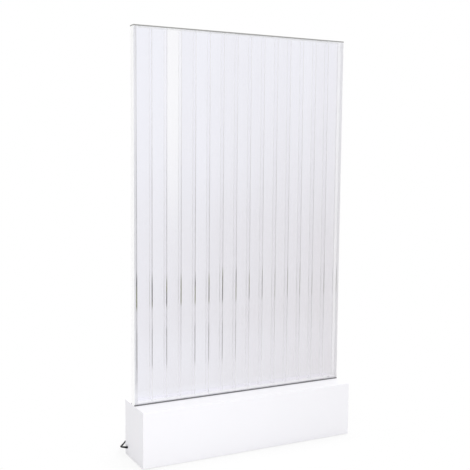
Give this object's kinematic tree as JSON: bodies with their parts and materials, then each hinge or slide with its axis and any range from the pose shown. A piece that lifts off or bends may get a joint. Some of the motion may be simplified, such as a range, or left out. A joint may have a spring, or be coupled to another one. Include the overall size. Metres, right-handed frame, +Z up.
{
  "type": "bubble wall panel",
  "caption": "Free-standing bubble wall: a flat clear acrylic water panel of narrow upright channels on a long low white base, with a slim top cover and a mains cord.",
  "frame": {"origin": "on the floor, under the middle of the base", "axes": "+X to the right seen from the front, +Y from front to back, +Z up"},
  "size_m": [1.0294, 0.3754, 1.8],
  "materials": {
    "clear_acrylic": "clear polished acrylic",
    "white_lacquer": "smooth white lacquered board",
    "satin_aluminium": "satin anodised",
    "grey_seal": "matt grey sealing strip",
    "black_rubber": "matt rubber",
    "bright_steel": "fine brushed",
    "pump_grey": "moulded, lightly textured",
    "white_plastic": "moulded satin",
    "clear_hose": "soft clear hose",
    "blue_plastic": "moulded satin",
    "black_pvc": "soft black cord jacket"
  },
  "bodies": {
    "cabinet": {"front_sheet": "clear_acrylic", "back_sheet": "clear_acrylic", "left_post": "clear_acrylic", "right_post": "clear_acrylic", "divider_01": "clear_acrylic", "divider_02": "clear_acrylic", "divider_03": "clear_acrylic", "divider_04": "clear_acrylic", "divider_05": "clear_acrylic", "divider_06": "clear_acrylic", "divider_07": "clear_acrylic", "divider_08": "clear_acrylic", "divider_09": "clear_acrylic", "divider_10": "clear_acrylic", "divider_11": "clear_acrylic", "divider_12": "clear_acrylic", "divider_13": "clear_acrylic", "divider_14": "clear_acrylic", "tank_floor": "clear_acrylic", "foot_seal_front": "grey_seal", "foot_seal_rear": "grey_seal", "front_board": "white_lacquer", "back_board": "white_lacquer", "left_end_board": "white_lacquer", "right_end_board": "white_lacquer", "top_board_front": "white_lacquer", "top_board_rear": "white_lacquer", "bottom_board": "white_lacquer", "foot_pad_front_left": "black_rubber", "foot_pad_front_right": "black_rubber", "foot_pad_rear_left": "black_rubber", "foot_pad_rear_right": "black_rubber", "door_hinge_pin": "bright_steel", "air_rail": "white_plastic", "light_bar": "white_plastic", "rail_strap_1": "satin_aluminium", "rail_strap_2": "satin_aluminium", "rail_strap_3": "satin_aluminium", "air_pump_base": "pump_grey", "air_pump_cover": "pump_grey", "air_valve": "white_plastic", "air_hose_pump": "clear_hose", "air_hose_rail": "clear_hose", "drain_tube": "clear_hose", "drain_valve": "white_plastic", "junction_box": "white_plastic", "light_driver": "white_plastic", "driver_lead": "black_pvc", "light_lead": "black_pvc", "pump_lead": "black_pvc", "cord_gland": "black_pvc", "cord_run": "black_pvc", "cord_coil": "black_pvc", "cord_tail": "black_pvc", "plug": "black_pvc"},
    "cover": {"top_cover": "satin_aluminium"},
    "door": {"service_door": "white_lacquer"},
    "latch": {"door_latch": "bright_steel"},
    "air_knob": {"air_valve_knob": "blue_plastic"},
    "lever": {"drain_lever": "blue_plastic"}
  },
  "joints": [
    {"name": "cover_lift", "type": "slide", "parent": "cabinet", "child": "cover", "axis": [0, 0, 1], "range_m": [0, 0.08]},
    {"name": "door_swing", "type": "hinge", "parent": "cabinet", "child": "door", "pos_m": [0.481, 0.1, 0.1215], "axis": [0, 0, -1], "range_deg": [0, 100]},
    {"name": "latch_turn", "type": "hinge", "parent": "door", "child": "latch", "pos_m": [0.093, 0.1, 0.1215], "axis": [0, -1, 0], "range_deg": [0, 90]},
    {"name": "air_knob_turn", "type": "hinge", "parent": "cabinet", "child": "air_knob", "pos_m": [0.203, 0.0023, 0.037], "axis": [0, 1, 0], "range_deg": [0, 270]},
    {"name": "drain_lever_turn", "type": "hinge", "parent": "cabinet", "child": "lever", "pos_m": [0.4527, 0.012, 0.148], "axis": [1, 0, 0], "range_deg": [0, 90]}
  ]
}
